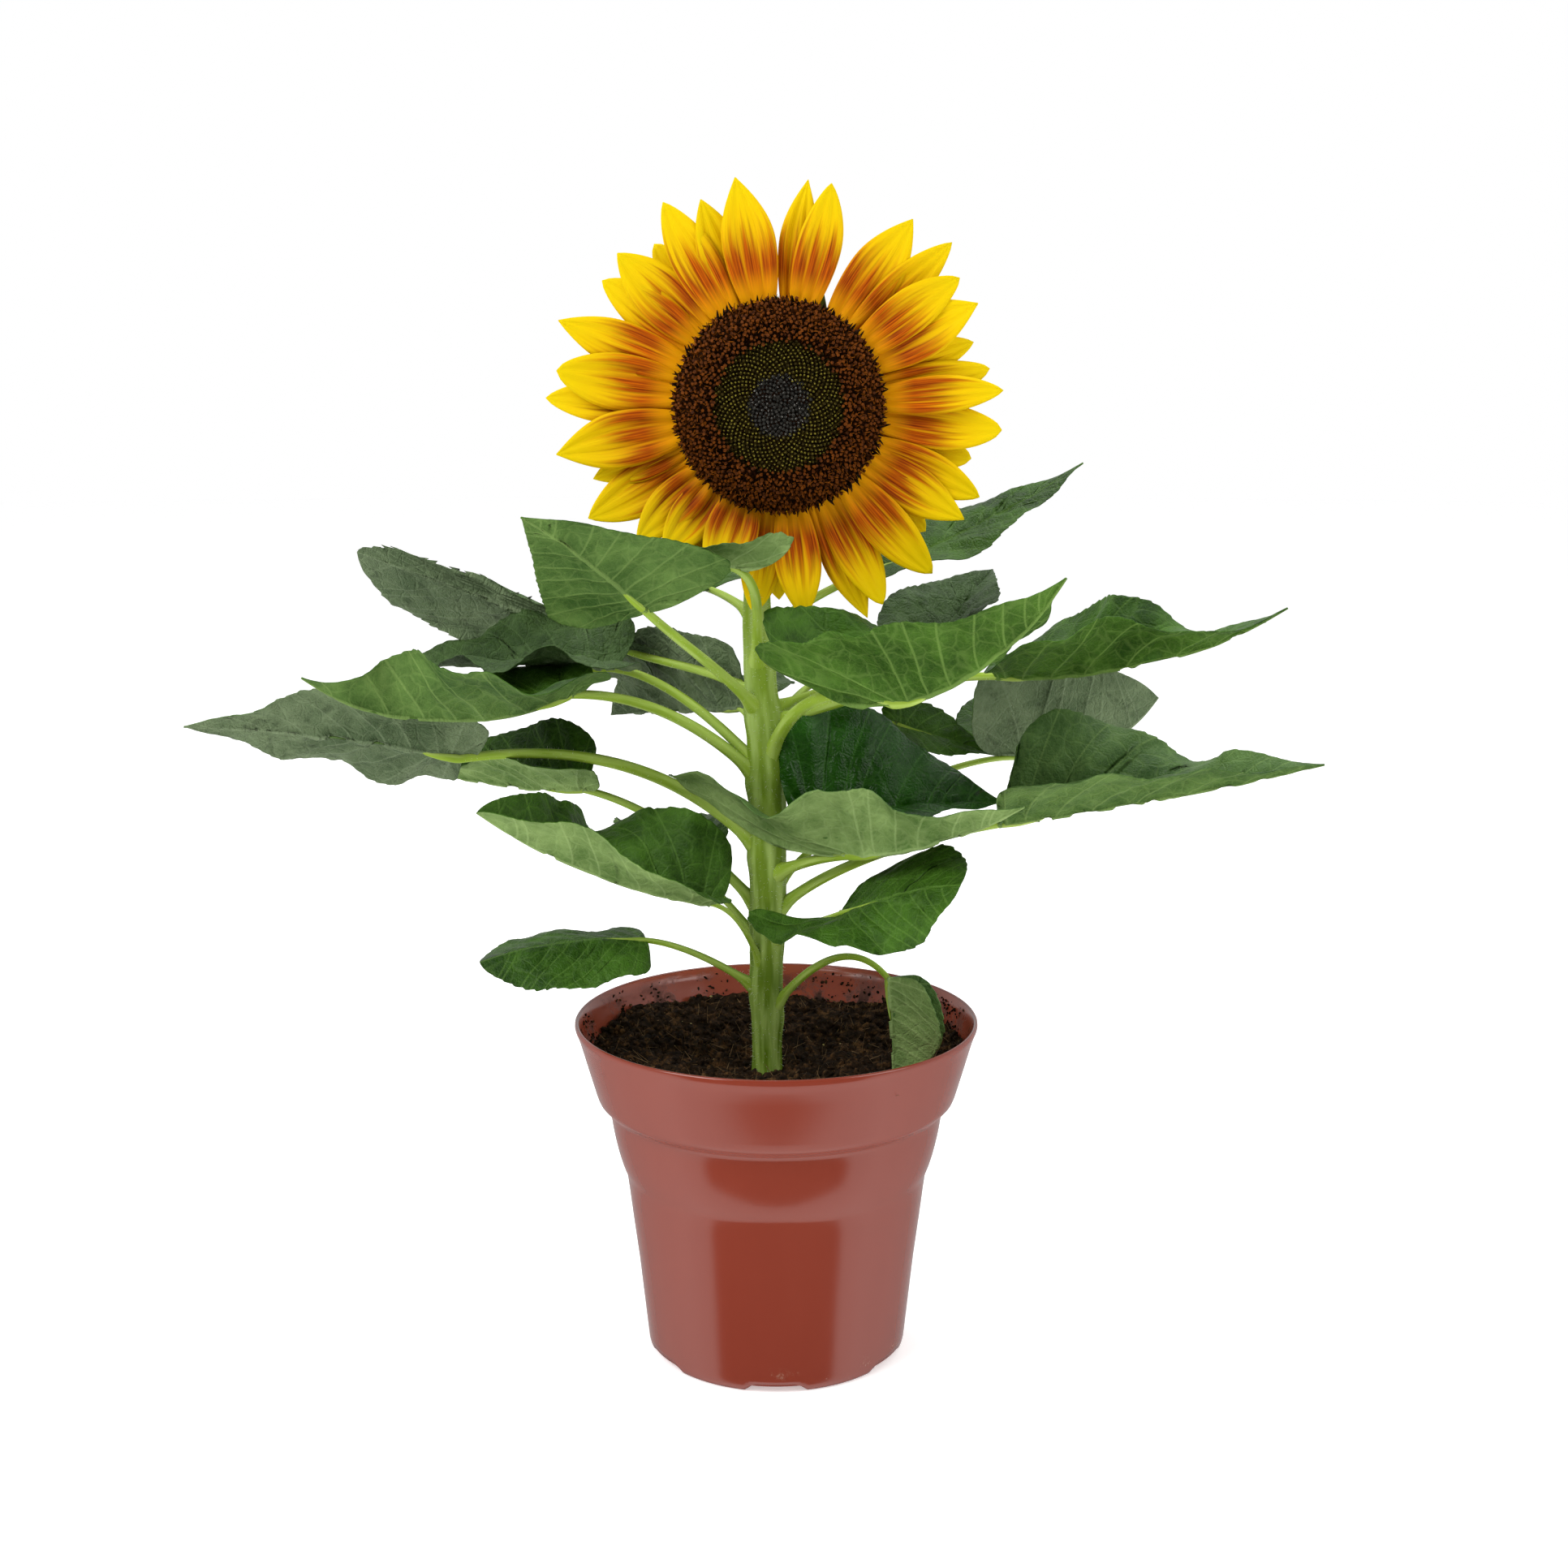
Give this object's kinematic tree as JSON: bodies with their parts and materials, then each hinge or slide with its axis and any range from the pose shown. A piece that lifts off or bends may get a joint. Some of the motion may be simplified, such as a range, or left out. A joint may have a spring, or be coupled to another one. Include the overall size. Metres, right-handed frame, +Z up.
{
  "type": "potted sunflower",
  "caption": "Young potted sunflower: upright green stem, heart-shaped leaves on long stalks and a large yellow and brown flower head facing front, in a terracotta coloured plastic pot.",
  "frame": {"origin": "centre of the pot's flat underside, on the pot's axis", "axes": "+Z up along the pot's axis, -Y towards the side that the flower head faces, +X to the right as seen from there"},
  "size_m": [0.3482, 0.184, 0.3704],
  "materials": {
    "pot": "satin terracotta red injection moulded plastic",
    "soil": "moist dark peat with fibres and crumbs",
    "stem": "light green, ribbed and finely hairy",
    "leaf": "matte green, darker and a little glossy above, paler below, with raised veins",
    "petal": "yellow, orange brown towards the base, finely ribbed",
    "disc": "dark brown florets round an olive and grey centre"
  },
  "bodies": {
    "root": {"pot": "pot", "soil": "soil", "stem": "stem", "flower_back": "leaf", "ray_florets": "petal", "disc_florets": "disc", "leaf_right_hanging": "leaf", "leaf_left_lowest": "leaf", "leaf_left_curled": "leaf", "leaf_back_left_low": "leaf", "leaf_right_lobed": "leaf", "leaf_right_far": "leaf", "leaf_left_mid": "leaf", "leaf_right_hidden": "leaf", "leaf_front_long": "leaf", "leaf_left_far": "leaf", "leaf_back_low": "leaf", "leaf_right_glossy": "leaf", "leaf_right_small": "leaf", "leaf_left_broad": "leaf", "leaf_left_dark": "leaf", "leaf_front_centre": "leaf", "leaf_back_left": "leaf", "leaf_back_mid": "leaf", "leaf_right_upper": "leaf", "leaf_back_right": "leaf", "leaf_front_left_top": "leaf", "leaf_left_pale": "leaf", "leaf_under_flower": "leaf", "leaf_right_top": "leaf", "leaf_back_top": "leaf"}
  },
  "joints": []
}
